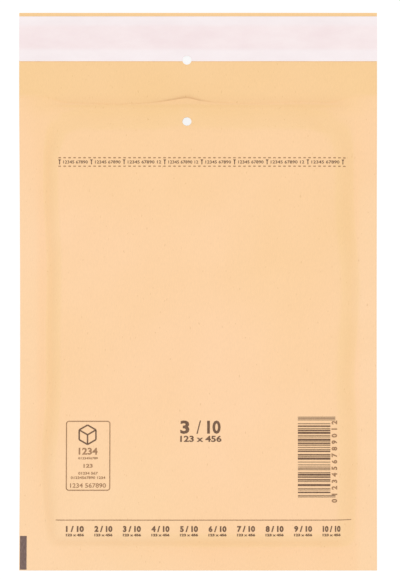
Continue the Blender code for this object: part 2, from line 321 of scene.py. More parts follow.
def sheet_columns(flat_spacing):
    """X of a sheet's columns from edge to edge, closer together on the slopes."""
    flat = SEAM_LINE - SIDE_SLOPE
    seam = SEAM_LINE + RIGHT_SEAM_SHIFT
    right = spaced(flat, seam, SLOPE_SPACING)
    right += spaced(seam, HALF_WIDTH, SEAM_SPACING) + [HALF_WIDTH]
    left = [-x for x in reversed(right)]
    return left + spaced(-flat, flat, flat_spacing)[1:] + right


def panel_lines(end, flat_spacing, fold_end):
    """Places along one panel, from its end down to where the bottom fold starts."""
    lines = spaced(end, CLOSING_START, MOUTH_SPACING)
    lines += spaced(CLOSING_START, FLAT_START, flat_spacing)
    lines += spaced(FLAT_START, BOTTOM_SEAM, SLOPE_SPACING)
    return lines + spaced(BOTTOM_SEAM, fold_end, SEAM_SPACING)


def folded_lines(end, front_spacing, back_spacing, fold_end):
    """Places along a folded sheet from mouth to mouth, negative on its front panel."""
    front = panel_lines(end, front_spacing, fold_end)
    fold = spaced(fold_end, -fold_end, 2 * fold_end / FOLD_STEPS)
    back = panel_lines(end, back_spacing, fold_end)
    return [-at for at in front + fold] + [fold_end] + back[::-1]


def folded_surface(x, path, offset, fold_end, front, back):
    """Points of a sheet folded at the bottom. The path is negative on the front panel.

    Within fold_end of 0 the sheet runs round a half circle whose radius the offset sets.
    """
    radius = FILM + offset
    along = np.abs(path)
    turn = np.clip(path / fold_end, -1, 1) * math.pi / 2
    z = np.where(path < 0, front(x, along), back(x, along))
    on_fold = along < fold_end
    along = np.where(on_fold, fold_end - radius * np.cos(turn), along)
    z = np.where(on_fold, SEAM_HEIGHT - radius * np.sin(turn), z)
    return in_frame(pulled_in(x, along), along, z)


def block_around(columns, lines, hole):
    """The grid's cells that a punched hole and its margin reach."""
    reach = HOLE_RADIUS + PUNCH_MARGIN
    first, last = np.searchsorted(columns, (hole[0] - reach, hole[0] + reach))
    low, high = np.searchsorted(lines, (hole[1] - reach, hole[1] + reach))
    return first - 1, last, low - 1, high


def block_rim(block):
    """The grid points round a block, as (column, line), in order."""
    first, last, low, high = block
    rim = [(i, low) for i in range(first, last)]
    rim += [(last, j) for j in range(low, high)]
    rim += [(i, high) for i in range(last, first, -1)]
    return rim + [(first, j) for j in range(high, low, -1)]


def punched_grid(columns, lines, holes):
    """Flat points and faces of a grid, with rings of faces round each punched hole."""
    across = len(columns)
    flat = [(x, at) for at in lines for x in columns]
    faces = {}
    for j in range(len(lines) - 1):
        for i in range(across - 1):
            low, high = j * across + i, (j + 1) * across + i
            faces[i, j] = (low, high, high + 1, low + 1)
    rings = []
    for hole in holes:
        block = block_around(columns, lines, hole)
        first, last, low, high = block
        for i in range(first, last):
            for j in range(low, high):
                faces.pop((i, j))
        outer = [j * across + i for i, j in block_rim(block)]
        start = outer
        for share in PUNCH_RINGS:
            inner = []
            for index in start:
                x, at = flat[index]
                angle = math.atan2(at - hole[1], x - hole[0])
                rim_x = hole[0] + HOLE_RADIUS * math.cos(angle)
                rim_at = hole[1] + HOLE_RADIUS * math.sin(angle)
                inner.append(len(flat))
                flat.append((x + (rim_x - x) * share, at + (rim_at - at) * share))
            for i in range(len(outer)):
                j = (i + 1) % len(outer)
                rings.append((outer[i], inner[i], inner[j], outer[j]))
            outer = inner
    return np.array(flat), [*faces.values(), *rings]


def add_object(name, data):
    obj = bpy.data.objects.new(name, data)
    bpy.context.scene.collection.objects.link(obj)
    return obj


def add_piece(name, points, faces, materials, smooth=True):
    """A mesh object of these points and faces, riding on the envelope's one body."""
    mesh = bpy.data.meshes.new(name)
    mesh.from_pydata([tuple(p) for p in points], [], faces)
    mesh.validate()
    for material in materials:
        mesh.materials.append(material)
    if smooth:
        mesh.shade_smooth()
    obj = add_object(name, mesh)
    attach(obj, "root")
    return obj


def thicken(obj, thickness, other_side=0):
    """Gives a sheet its thickness, half on each side, and its other side a material."""
    solidify = obj.modifiers.new("thickness", "SOLIDIFY")
    solidify.thickness = thickness
    solidify.offset = 0.0
    solidify.material_offset = other_side
    solidify.material_offset_rim = 0


def crisp_rims(obj):
    """Keeps smooth shading off a sheet's cut edges."""
    split = obj.modifiers.new("crisp rims", "EDGE_SPLIT")
    split.split_angle = CRISP_ANGLE


def feed(socket, value):
    """Gives a socket a number or a colour, or links another node's output to it."""
    if isinstance(value, bpy.types.NodeSocket):
        socket.id_data.links.new(value, socket)
    else:
        socket.default_value = value


def add_node(tree, kind, settings=None, **values):
    """A shader node with its settings, and a value or a link for each named socket."""
    node = tree.nodes.new("ShaderNode" + kind)
    for name, value in (settings or {}).items():
        setattr(node, name, value)
    for name, value in values.items():
        feed(node.inputs[name.replace("_", " ")], value)
    return node


def new_material(name, **values):
    """A material with its tree, its shader and the coordinates that patterns take."""
    material = bpy.data.materials.new(name)
    material.use_nodes = True
    tree = material.node_tree
    shader = tree.nodes["Principled BSDF"]
    for key, value in values.items():
        shader.inputs[key.replace("_", " ")].default_value = value
    coords = add_node(tree, "TexCoord").outputs["Object"]
    return material, tree, shader, coords


def colour(red, green, blue):
    """A colour given as it appears, 0 to 255, in the linear form that shaders take."""

    def linear(value):
        value /= 255
        return value / 12.92 if value <= 0.04045 else ((value + 0.055) / 1.055) ** 2.4

    return (linear(red), linear(green), linear(blue), 1.0)


def noise(tree, coords, pattern):
    """A noise over the envelope. Its pattern is a scale, the detail and the stretch."""
    scale, detail, stretch = pattern
    mapping = add_node(tree, "Mapping", Vector=coords, Scale=stretch)
    form = {"Scale": scale, "Detail": detail, "Roughness": NOISE_ROUGHNESS}
    return add_node(tree, "TexNoise", Vector=mapping.outputs[0], **form).outputs["Fac"]


def ramp(tree, value, stops):
    """A colour that runs between two stops, each a value and its colour."""
    node = add_node(tree, "ValToRGB", Fac=value)
    for element, stop in zip(node.color_ramp.elements, stops):
        element.position, element.color = stop
    return node.outputs["Color"]


def blend_colours(tree, share, first, second, mode="MIX"):
    node = add_node(tree, "Mix", {"data_type": "RGBA", "blend_type": mode})
    for index, value in ((0, share), (6, first), (7, second)):
        feed(node.inputs[index], value)
    return node.outputs[2]


def grey(value):
    return (value, value, value, 1.0)


def set_gloss(tree, shader, value, stops):
    """Roughness that follows a pattern, from two stops of a value and its roughness."""
    greys = [(position, grey(roughness)) for position, roughness in stops]
    feed(shader.inputs["Roughness"], ramp(tree, value, greys))


def set_bump(tree, shader, height, distance, strength):
    node = add_node(tree, "Bump", Height=height, Distance=distance, Strength=strength)
    feed(shader.inputs["Normal"], node.outputs["Normal"])


def calculate(tree, operation, first, *others):
    """Takes numbers or other nodes' outputs through an operation, one after the other."""
    for value in others or (0.0,):
        node = add_node(tree, "Math", {"operation": operation})
        feed(node.inputs[0], first)
        feed(node.inputs[1], value)
        first = node.outputs[0]
    return first


def fade(tree, value, span, low=0.0, high=1.0):
    """Runs smoothly from low, at the span's first value, to high, at its second."""
    smooth = {"interpolation_type": "SMOOTHSTEP"}
    ends = {"From_Min": span[0], "From_Max": span[1], "To_Min": low, "To_Max": high}
    return add_node(tree, "MapRange", smooth, Value=value, **ends).outputs[0]


def zone(tree, *edges):
    """The product of several fades, each given as its value, its span and its ends."""
    return calculate(tree, "MULTIPLY", *(fade(tree, *edge) for edge in edges))


# Tones of the kraft, most of them painted light and shade: painted golden shade at the
# mouth and up the right side, with the same golden tint on the flap, painted shade a little
# yellower on slopes, paler along the pressed seams, painted light in the lower left corner,
# and painted shade where the lip bends down
GOLDEN_SHADE_AND_TINT = (0.971, 0.964, 0.859, 1.0)
SLOPE_SHADE = (0.992, 1.003, 0.945, 1.0)
PALE_SEAMS_AND_CORNER_LIGHT = (1.0, 1.03, 1.06, 1.0)
LIP_SHADE = (0.98, 0.965, 0.967, 1.0)

# Where each tone fades in, from none to full. ALONG is counted from the bottom fold, SIDE
# from the middle line to either side, and ACROSS to the right only.
CORNER_ALONG = (0.080, 0.030)
CORNER_ACROSS = (0.012, -0.040)
CORNER_SLOPE_SHADE = 0.3
SLOPE_SHADE_NORMAL = (0.9995, 0.93)
UPPER_ALONG = (0.155, 0.188)
UPPER_SHARE = 0.42
MOUTH_ALONG = (0.206, BODY_LENGTH)
MOUTH_SIDE = (HALF_WIDTH, SEAM_LINE - 0.004)
MOUTH_EDGE_SHARE = 0.35
FLAP_ALONG = (BODY_LENGTH - 0.001, BODY_LENGTH + 0.002)
RIGHT_SLANT = 0.25
RIGHT_ACROSS = (0.037, 0.078)
RIGHT_ALONG = (0.045, 0.10)
RIGHT_SIDE = (SEAM_LINE + 0.001, SEAM_LINE - 0.003)
RIGHT_SHARE = 0.4
SEAM_SIDE = (SEAM_LINE, SEAM_LINE + 0.004)
SEAM_ALONG = (0.205, 0.165)
LIP_SHADE_LINE = 0.2221
LIP_SHADE_REACH = (0.0055, 0.0)
LIP_SHADE_SIDE = (SEAM_LINE, SEAM_LINE - 0.010)


def kraft_tones(tree, coords, shade):
    """Multiplies a kraft colour by tones that depend on place, mostly painted shade and light."""
    place = add_node(tree, "SeparateXYZ", Vector=coords).outputs
    across, side = place["X"], calculate(tree, "ABSOLUTE", place["X"])
    along = calculate(tree, "ADD", place["Y"], HALF_LENGTH)
    normal = add_node(tree, "NewGeometry").outputs["Normal"]
    up = add_node(tree, "SeparateXYZ", Vector=normal).outputs["Z"]
    level = calculate(tree, "ABSOLUTE", up)
    corner = zone(tree, (along, CORNER_ALONG), (across, CORNER_ACROSS))
    # Painted shade on slopes, a little yellower, by how far the normal leans from upright, with
    # less of it in the lower left corner
    steep = zone(tree, (level, SLOPE_SHADE_NORMAL), (corner, (0.0, 1.0), 1.0, CORNER_SLOPE_SHADE))

    # Painted golden shade where the front panel comes down to the mouth and up the right side; the
    # same golden tint covers the flap
    upper = fade(tree, along, UPPER_ALONG, high=UPPER_SHARE)
    mouth = calculate(tree, "MAXIMUM", fade(tree, along, MOUTH_ALONG), upper)
    inward = fade(tree, side, MOUTH_SIDE, low=MOUTH_EDGE_SHARE)
    mouth = calculate(tree, "MULTIPLY", mouth, inward)
    slant = calculate(tree, "ADD", across, calculate(tree, "MULTIPLY", along, RIGHT_SLANT))
    body = (side, RIGHT_SIDE, 0.0, RIGHT_SHARE)
    right = zone(tree, (slant, RIGHT_ACROSS), (along, RIGHT_ALONG), body)
    golden = calculate(tree, "MAXIMUM", mouth, fade(tree, along, FLAP_ALONG), right)

    # Paler along the side seams, and painted light over the lower left corner
    seam = zone(tree, (side, SEAM_SIDE), (along, SEAM_ALONG))
    pale = calculate(tree, "MAXIMUM", seam, corner)
    # Painted shade in a band along the line where the lip bends down, fading out towards the seams
    from_lip = calculate(tree, "ABSOLUTE", calculate(tree, "SUBTRACT", along, LIP_SHADE_LINE))
    lip = zone(tree, (from_lip, LIP_SHADE_REACH), (side, LIP_SHADE_SIDE))
    # Blends in painted golden shade, painted slope shade, paler seams with painted corner light,
    # and painted lip shade, each by its mask
    for share, tint in ((golden, GOLDEN_SHADE_AND_TINT), (steep, SLOPE_SHADE), (pale, PALE_SEAMS_AND_CORNER_LIGHT), (lip, LIP_SHADE)):
        tone = blend_colours(tree, share, grey(1.0), tint)
        shade = blend_colours(tree, 1.0, shade, tone, "MULTIPLY")
    return shade


# Noise patterns of the surfaces, as (scale, detail, stretch), and their own roughness
NOISE_ROUGHNESS = 0.55
CLOUDS = (45, 4, (1, 1, 1))
PATCHES = (12, 2, (1, 1, 1))
FIBRES = (2600, 4, (1, 0.22, 1))
CROSSED_FIBRES = (1900, 3, (0.3, 1, 1))
FLECKS = (1100, 1, (1, 0.35, 1))
FILM_STREAKS = (500, 3, (1, 0.08, 1))
ADHESIVE_LINES = (900, 3, (0.1, 1, 1))
BLOTCHES = (120, 4, (0.5, 1, 1))

# How a pattern tints a surface or sets its roughness, from two stops of its value.
# KRAFT_GLOSS is added to the roughness that each side of the paper has.
CLOUD_TINTS = ((0.3, (0.985, 0.975, 0.955, 1)), (0.7, grey(1.0)))
PATCH_TINTS = ((0.35, (0.99, 0.99, 0.965, 1)), (0.65, (1, 1, 1.02, 1)))
FIBRE_TINTS = ((0.3, grey(0.95)), (0.7, grey(1.0)))
FLECK_TINTS = ((0.22, (0.90, 0.87, 0.82, 1)), (0.28, grey(1.0)))
KRAFT_GLOSS = ((0.25, -0.06), (0.75, 0.05))
FILM_GLOSS = ((0.3, 0.10), (0.7, 0.24))
ADHESIVE_COLOURS = ((0.3, colour(222, 186, 168)), (0.7, colour(236, 204, 188)))
ADHESIVE_GLOSS = ((0.3, 0.20), (0.7, 0.38))
STUCK_COLOURS = ((0.3, colour(236, 218, 219)), (0.7, colour(242, 228, 228)))
FREE_COLOURS = ((0.3, colour(237, 225, 226)), (0.7, colour(242, 232, 233)))
RELEASE_GLOSS = ((0.3, 0.34), (0.7, 0.46))

# Ink is lighter over raised fibres, by a gain and a lift of its tint, between two stops
THIN_INK_GAIN = 1.5
THIN_INK_LIFT = 0.03
THIN_INK_STOPS = (0.35, 0.75)

# How far the rosy stain of the adhesive on the strip strays, and over what it fades
STAIN_WANDER = 0.0016
STAIN_FADE = 0.0012


def kraft_material(name, base, roughness):
    """Kraft paper: cloudy pulp, long fibres and a fibrous surface, with painted golden shade and
    painted light by place.
    """
    material, tree, shader, coords = new_material(name, Specular_IOR_Level=0.3)
    clouds = noise(tree, coords, CLOUDS)
    fibres = noise(tree, coords, FIBRES)
    for pattern, tints in (
        (clouds, CLOUD_TINTS),
        (fibres, FIBRE_TINTS),
        (noise(tree, coords, PATCHES), PATCH_TINTS),
        (noise(tree, coords, FLECKS), FLECK_TINTS),
    ):
        base = blend_colours(tree, 1.0, base, ramp(tree, pattern, tints), "MULTIPLY")
    feed(shader.inputs["Base Color"], kraft_tones(tree, coords, base))
    gloss = [(stop, roughness + change) for stop, change in KRAFT_GLOSS]
    set_gloss(tree, shader, clouds, gloss)
    relief = blend_colours(tree, 0.5, fibres, noise(tree, coords, CROSSED_FIBRES))
    set_bump(tree, shader, relief, distance=0.00006, strength=0.5)
    return material


def film_material():
    """Clear polyethylene film, a little milky, with fine drawn streaks.

    It is only seen inside the pouch. A faint brown glow stands for the daylight that
    comes through the paper, which would leave the pouch black otherwise.
    """
    material, tree, shader, coords = new_material(
        "bubble_film",
        Base_Color=colour(236, 240, 242),
        IOR=1.5,
        Alpha=0.42,
        Specular_IOR_Level=0.6,
        Emission_Color=colour(104, 78, 56),
        Emission_Strength=0.3,
    )
    streaks = noise(tree, coords, FILM_STREAKS)
    set_gloss(tree, shader, streaks, FILM_GLOSS)
    set_bump(tree, shader, streaks, distance=0.0001, strength=0.3)
    return material


def adhesive_material():
    """Hot-melt adhesive: glossy, rosy and laid on in fine lines across the flap."""
    material, tree, shader, coords = new_material("adhesive", Specular_IOR_Level=0.5)
    lines = noise(tree, coords, ADHESIVE_LINES)
    feed(shader.inputs["Base Color"], ramp(tree, lines, ADHESIVE_COLOURS))
    set_gloss(tree, shader, lines, ADHESIVE_GLOSS)
    set_bump(tree, shader, lines, distance=0.0001, strength=0.4)
    return material


def release_material():
    """A satin release strip. Where it lies on the adhesive it looks rosier and blotchy."""
    material, tree, shader, coords = new_material(
        "release_paper", Specular_IOR_Level=0.45, Coat_Weight=0.15, Coat_Roughness=0.25
    )
    place = add_node(tree, "SeparateXYZ", Vector=coords).outputs["Y"]
    blotches = noise(tree, coords, BLOTCHES)
    wander = calculate(tree, "MULTIPLY", blotches, STAIN_WANDER)
    middle = (ADHESIVE_LOW.y + ADHESIVE_HIGH.y) / 2 + STAIN_WANDER / 2
    reach = (ADHESIVE_HIGH.y - ADHESIVE_LOW.y) / 2
    away = calculate(tree, "ADD", place, wander, -middle)
    span = (reach + STAIN_FADE, reach - STAIN_FADE)
    stuck = fade(tree, calculate(tree, "ABSOLUTE", away), span)
    free_tint = ramp(tree, blotches, FREE_COLOURS)
    stuck_tint = ramp(tree, blotches, STUCK_COLOURS)
    base = blend_colours(tree, stuck, free_tint, stuck_tint)
    feed(shader.inputs["Base Color"], base)
    set_gloss(tree, shader, blotches, RELEASE_GLOSS)
    set_bump(tree, shader, blotches, distance=0.0002, strength=0.25)
    return material


def ink_material(name, tint):
    """Flexographic ink that has sunk into the paper, thinner over raised fibres."""
    material, tree, shader, coords = new_material(name, Roughness=0.7, Specular_IOR_Level=0.2)
    fibres = noise(tree, coords, FIBRES)
    thin = [min(1.0, part * THIN_INK_GAIN + THIN_INK_LIFT) for part in tint[:3]] + [1.0]
    base = ramp(tree, fibres, zip(THIN_INK_STOPS, (tint, thin)))
    feed(shader.inputs["Base Color"], base)
    set_bump(tree, shader, fibres, distance=0.00004, strength=0.4)
    return material


def build_cover(outer, inner):
    """The folded kraft sheet: front panel, bottom fold, back panel and flap."""
    fold_end = FILM + PRESSED_OFFSET + PAPER / 2
    flap = spaced(BODY_LENGTH, TOTAL_LENGTH, FLAT_SPACING) + [TOTAL_LENGTH]
    lines = folded_lines(BODY_LENGTH, FLAT_SPACING, BACK_SPACING, fold_end) + flap[1:]
    holes = [(HOLE_X, -HOLE_LINE), (HOLE_X, HOLE_LINE), (HOLE_X, FLAP_HOLE_LINE)]
    flat, faces = punched_grid(sheet_columns(FLAT_SPACING), lines, holes)
    x, path = flat[:, 0], flat[:, 1]

    near_mouth = smooth_step((-path - CLOSING_START) / (BODY_LENGTH - CLOSING_START))
    path = path - (mouth_edge(x) - BODY_LENGTH) * near_mouth
    points = folded_surface(x, path, PRESSED_OFFSET, fold_end, front_paper, back_paper)
    points[:, 2] = np.where(path > BODY_LENGTH, flap_paper(x, path), points[:, 2])
    cover = add_piece("cover_sheet", points, faces, [outer, inner])
    thicken(cover, SHEET, other_side=1)
    crisp_rims(cover)
    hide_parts("kraft_cover")


def bubble_centres():
    """The film's staggered bubbles, clear of the slopes and of the punched hole."""
    length = LINING_END - FLAT_START
    rows = int((length - BUBBLE_PITCH) / ROW_PITCH) + 1
    first = FLAT_START + (length - (rows - 1) * ROW_PITCH) / 2
    half_pitch = BUBBLE_PITCH / 2
    burst_radius = HOLE_RADIUS + half_pitch
    for row in range(rows):
        along = first + row * ROW_PITCH
        room = SEAM_LINE - side_slope(along + half_pitch) - half_pitch
        offset = half_pitch * (row % 2)
        reach = int((room + offset) / BUBBLE_PITCH)
        for i in range(-reach, reach + 1):
            x = i * BUBBLE_PITCH + offset
            if abs(x) <= room and math.hypot(x - HOLE_X, along - HOLE_LINE) > burst_radius:
                yield x, along


# How a bubble is divided and rounded, and how much of the pouch it may fill
DOME_SIDES = 16
DOME_RINGS = 5
WALL_POWER = 0.6
TOP_POWER = 0.9
BUBBLE_GAP_SHARE = 0.4


def dome():
    """A bubble 1 high: upright walls that round over to an almost flat top."""
    points, faces = [], []
    for ring in range(DOME_RINGS):
        turn = math.pi / 2 * ring / DOME_RINGS
        radius = BUBBLE_WIDTH / 2 * math.cos(turn) ** WALL_POWER
        for side in range(DOME_SIDES):
            angle = 2 * math.pi * side / DOME_SIDES
            place = (radius * math.cos(angle), radius * math.sin(angle))
            points.append((*place, math.sin(turn) ** TOP_POWER))
    points.append((0, 0, 1))
    for ring in range(DOME_RINGS - 1):
        for side in range(DOME_SIDES):
            a = ring * DOME_SIDES + side
            b = ring * DOME_SIDES + (side + 1) % DOME_SIDES
            faces.append((a, b, b + DOME_SIDES, a + DOME_SIDES))
    last = (DOME_RINGS - 1) * DOME_SIDES
    top = DOME_RINGS * DOME_SIDES
    for side in range(DOME_SIDES):
        faces.append((last + side, last + (side + 1) % DOME_SIDES, top))
    faces.append(tuple(reversed(range(DOME_SIDES))))
    return np.array(points), faces


def build_bubbles(material):
    """The bubbles of both panels, pressed shallower where the panels come together."""
    shape, dome_faces = dome()
    centre_x, centre_along = np.array(list(bubble_centres())).T
    gap = front_film(centre_x, centre_along) - back_film(centre_x, centre_along)
    height = np.minimum(BUBBLE_HEIGHT, gap * BUBBLE_GAP_SHARE)
    x = (centre_x[:, None] + shape[:, 0]).ravel()
    along = (centre_along[:, None] + shape[:, 1]).ravel()
    rise = (height[:, None] * shape[:, 2]).ravel()
    points, faces = [], []
    for z in (back_film(x, along) + rise, front_film(x, along) - rise):
        for start in range(len(points), len(points) + len(x), len(shape)):
            faces += [tuple(start + i for i in face) for face in dome_faces]
        points += list(in_frame(x, along, z))
    bubbles = add_piece("film_bubbles", points, faces, [material])
    turn_outwards(bubbles.data)


def build_lining(material):
    """The pouch of film, folded at the bottom, and the bubbles inside it."""
    lines = folded_lines(LINING_END, BACK_SPACING, BACK_SPACING, LINING_FOLD_END)
    holes = [(HOLE_X, -HOLE_LINE), (HOLE_X, HOLE_LINE)]
    flat, faces = punched_grid(sheet_columns(BACK_SPACING), lines, holes)
    x, path = flat[:, 0], flat[:, 1]
    points = folded_surface(x, path, FILM_OFFSET, LINING_FOLD_END, front_film, back_film)
    lining = add_piece("film_pouch", points, faces, [material])
    thicken(lining, FILM_SHEET)
    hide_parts("bubble_lining")
    build_bubbles(material)


def turn_outwards(mesh):
    """Turns every face of closed shapes outwards."""
    bm = bmesh.new()
    bm.from_mesh(mesh)
    bmesh.ops.recalc_face_normals(bm, faces=bm.faces)
    bm.to_mesh(mesh)
    bm.free()


# The strips on the flap, how one settles beside the other, and the cutter for the notch
STRIP_REST = 0.00003
ADHESIVE = 0.00018
RELEASE_PAPER = 0.00012
STRIP_SPACING = 0.0009
SETTLING_START = 0.0004
SETTLING_RUN = 0.0022
NOTCH_SIDES = 48
CUTTER_DEPTH = 0.04


def build_strip(name, low, high, lift, thickness, material):
    """A strip across the flap from low to high. Its lift over the paper is a function."""
    start, end = low.y + HALF_LENGTH, high.y + HALF_LENGTH
    lines = spaced(start, end, STRIP_SPACING) + [end]
    flat, faces = punched_grid(sheet_columns(FLAT_SPACING), lines, [])
    x, along = flat[:, 0], flat[:, 1]
    z = flap_paper(x, along) + SHEET / 2 + lift(x, along) + thickness / 2
    strip = add_piece(name, in_frame(x, along, z), faces, [material])
    thicken(strip, thickness)
    return strip


def adhesive_lift(x, along):
    return STRIP_REST + 0 * x


def release_lift(x, along):
    """The release strip lies over the adhesive, and comes down to the paper beside it."""
    low, high = ADHESIVE_LOW.y + HALF_LENGTH, ADHESIVE_HIGH.y + HALF_LENGTH
    outside = np.maximum(low - along, along - high)
    over = 1 - smooth_step((outside - SETTLING_START) / SETTLING_RUN)
    ripple = np.abs(waves(x, along, STRIP_WAVES, seed=4))
    return STRIP_REST + (ADHESIVE + STRIP_REST) * over + ripple


def build_flap_strips(adhesive, release):
    """The adhesive across the flap, and the strip that peels off it."""
    band = build_strip(
        "adhesive_layer", ADHESIVE_LOW, ADHESIVE_HIGH, adhesive_lift, ADHESIVE, adhesive
    )
    crisp_rims(band)
    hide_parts("adhesive_band")
    strip = build_strip(
        "peel_strip", RELEASE_LOW, RELEASE_HIGH, release_lift, RELEASE_PAPER, release
    )
    cut_notch(strip)
    crisp_rims(strip)
    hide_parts("release_strip")


def cut_notch(strip):
    """Cuts the round notch that the punch left in the strip's lower edge."""
    bm = bmesh.new()
    place = Matrix.Translation((HOLE_X, FLAP_HOLE_LINE - HALF_LENGTH, 0))
    bmesh.ops.create_cone(
        bm,
        cap_ends=True,
        segments=NOTCH_SIDES,
        radius1=HOLE_RADIUS,
        radius2=HOLE_RADIUS,
        depth=CUTTER_DEPTH,
        matrix=place,
    )
    mesh = bpy.data.meshes.new("notch_cutter")
    bm.to_mesh(mesh)
    bm.free()
    cutter = add_object("notch_cutter", mesh)
    cut = strip.modifiers.new("notch", "BOOLEAN")
    cut.operation = "DIFFERENCE"
    cut.solver = "EXACT"
    cut.object = cutter
    graph = bpy.context.evaluated_depsgraph_get()
    made = bpy.data.meshes.new_from_object(strip.evaluated_get(graph))
    strip.modifiers.clear()
    strip.data = made
    bpy.data.objects.remove(cutter)


# The print on the front panel. A weight swells a figure, as a share of its type size.
PRINT_LIFT = 0.00005
INK_THICKNESS = 0.00002
FIGURE_RESOLUTION = 3
FINE_WEIGHT = 0.016
WEIGHT = 0.03
STRONG_WEIGHT = 0.035
HEAVY_WEIGHT = 0.04
BOLD_WEIGHT = 0.05
TOLERANCE = 1e-8


def figures(text, weight):
    """Flat outlines of some figures as points and faces, 1 high and centred on 0."""
    curve = bpy.data.curves.new("figures", "FONT")
    curve.body = text
    curve.offset = weight
    curve.resolution_u = FIGURE_RESOLUTION
    obj = add_object("figures", curve)
    graph = bpy.context.evaluated_depsgraph_get()
    mesh = bpy.data.meshes.new_from_object(obj.evaluated_get(graph))
    points = np.array([v.co[:2] for v in mesh.vertices])
    faces = [tuple(p.vertices) for p in mesh.polygons]
    bpy.data.objects.remove(obj)
    bpy.data.curves.remove(curve)
    low, high = points.min(axis=0), points.max(axis=0)
    return (points - (low + high) / 2) / (high[1] - low[1]), faces


class Print:
    """One printed piece: flat shapes gathered first, then laid on the paper at once."""

    def __init__(self, name):
        self.name = name
        self.points = []
        self.faces = []

    def add(self, points, faces):
        start = len(self.points)
        self.points += [tuple(p) for p in points]
        self.faces += [tuple(start + i for i in face) for face in faces]

    def bar(self, x1, along1, x2, along2):
        """A filled rectangle."""
        corners = [(x1, along1), (x2, along1), (x2, along2), (x1, along2)]
        self.add(corners, [(0, 1, 2, 3)])

    def stroke(self, start, end, width):
        """A straight line between two points, with square ends."""
        (x1, along1), (x2, along2) = start, end
        length = math.hypot(x2 - x1, along2 - along1)
        dx = (along2 - along1) / length * width / 2
        dy = (x2 - x1) / length * width / 2
        points = [(x1 + dx, along1 - dy), (x2 + dx, along2 - dy)]
        points += [(x2 - dx, along2 + dy), (x1 - dx, along1 + dy)]
        self.add(points, [(0, 1, 2, 3)])

    def figures(self, text, x, along, width, height, weight):
        """Figures centred on a place, as wide and as high as given."""
        local, faces = figures(text, weight)
        self.add(local * (width / np.ptp(local[:, 0]), height) + (x, along), faces)

    def turned_figure(self, text, x, along, height, weight):
        """A figure in its own proportions that reads upwards."""
        local, faces = figures(text, weight)
        local = np.stack([-local[:, 1], local[:, 0]], axis=-1) * height
        self.add(local + (x, along), faces)

    def outline(self, x1, along1, x2, along2, radius, width, steps=6):
        """A frame with rounded corners, from its outer corners and its line's width."""
        corners = (
            (x2 - radius, along2 - radius, 0),
            (x1 + radius, along2 - radius, 90),
            (x1 + radius, along1 + radius, 180),
            (x2 - radius, along1 + radius, 270),
        )
        outer, inner = [], []
        for x, at, start in corners:
            for i in range(steps + 1):
                angle = math.radians(start + 90 * i / steps)
                for points, size in ((outer, radius), (inner, radius - width)):
                    points.append((x + size * math.cos(angle), at + size * math.sin(angle)))
        count = len(outer)
        faces = [(i, (i + 1) % count, count + (i + 1) % count, count + i) for i in range(count)]
        self.add(outer + inner, faces)

    def cut_to_paper(self):
        """Cuts the shapes wherever the paper's own grid bends, so that none sinks in."""
        bm = bmesh.new()
        corners = [bm.verts.new((x, at, 0)) for x, at in self.points]
        for face in self.faces:
            bm.faces.new([corners[i] for i in face])
        low, high = np.min(self.points, axis=0), np.max(self.points, axis=0)
        columns = sheet_columns(FLAT_SPACING)
        lines = panel_lines(BODY_LENGTH, FLAT_SPACING, 0.0)
        cuts = [((x, 0, 0), (1, 0, 0)) for x in columns if low[0] < x < high[0]]
        cuts += [((0, at, 0), (0, 1, 0)) for at in lines if low[1] < at < high[1]]
        for place, way in cuts:
            geometry = [*bm.verts, *bm.edges, *bm.faces]
            bmesh.ops.bisect_plane(bm, geom=geometry, dist=TOLERANCE, plane_co=place, plane_no=way)
        bm.verts.index_update()
        flat = np.array([v.co[:2] for v in bm.verts])
        faces = [tuple(v.index for v in face.verts) for face in bm.faces]
        bm.free()
        return flat, faces

    def lay(self, material):
        """Lays the shapes on the front panel's paper, with the thickness of ink."""
        flat, faces = self.cut_to_paper()
        x, along = flat[:, 0], flat[:, 1]
        z = front_paper(x, along) + SHEET / 2 + PRINT_LIFT
        points = in_frame(pulled_in(x, along), along, z)
        piece = add_piece(self.name, points, faces, [material], smooth=False)
        solidify = piece.modifiers.new("ink", "SOLIDIFY")
        solidify.thickness = INK_THICKNESS


# The band near the mouth: where it lies, the lengths of its parts, and its dashes
BAND_LEFT = -0.0657
BAND_LOW = 0.1919
BAND_HIGH = 0.1959
BAND_PARTS = (0.0151, 0.0155, 0.0193, 0.0176, 0.0155, 0.0154, 0.0193, 0.0167)
DASH_PITCH = 0.00237
DASH = 0.0012
DASH_LINE = 0.0005

# A pointer of the band, from its middle line: a stem under a small triangle
POINTER_FOOT = -0.0011
POINTER_TOP = 0.0012
POINTER_TIP = 0.0002
POINTER_HALF_WIDTH = 0.0007
STEM_TOP = 0.0008
STEM_LINE = 0.00042
LONG_PART = 0.017
PART_MARGIN = 0.0034
PART_HEIGHT = 0.0015


def print_tear_dashes(pale_ink):
    """The two dashed lines of the band near the mouth."""
    dashes = Print("print_tear_dashes")
    for i in range(round(sum(BAND_PARTS) / DASH_PITCH) + 1):
        x = BAND_LEFT + DASH_PITCH * i
        for at in (BAND_LOW, BAND_HIGH):
            dashes.stroke((x - DASH / 2, at), (x + DASH / 2, at), DASH_LINE)
    dashes.lay(pale_ink)


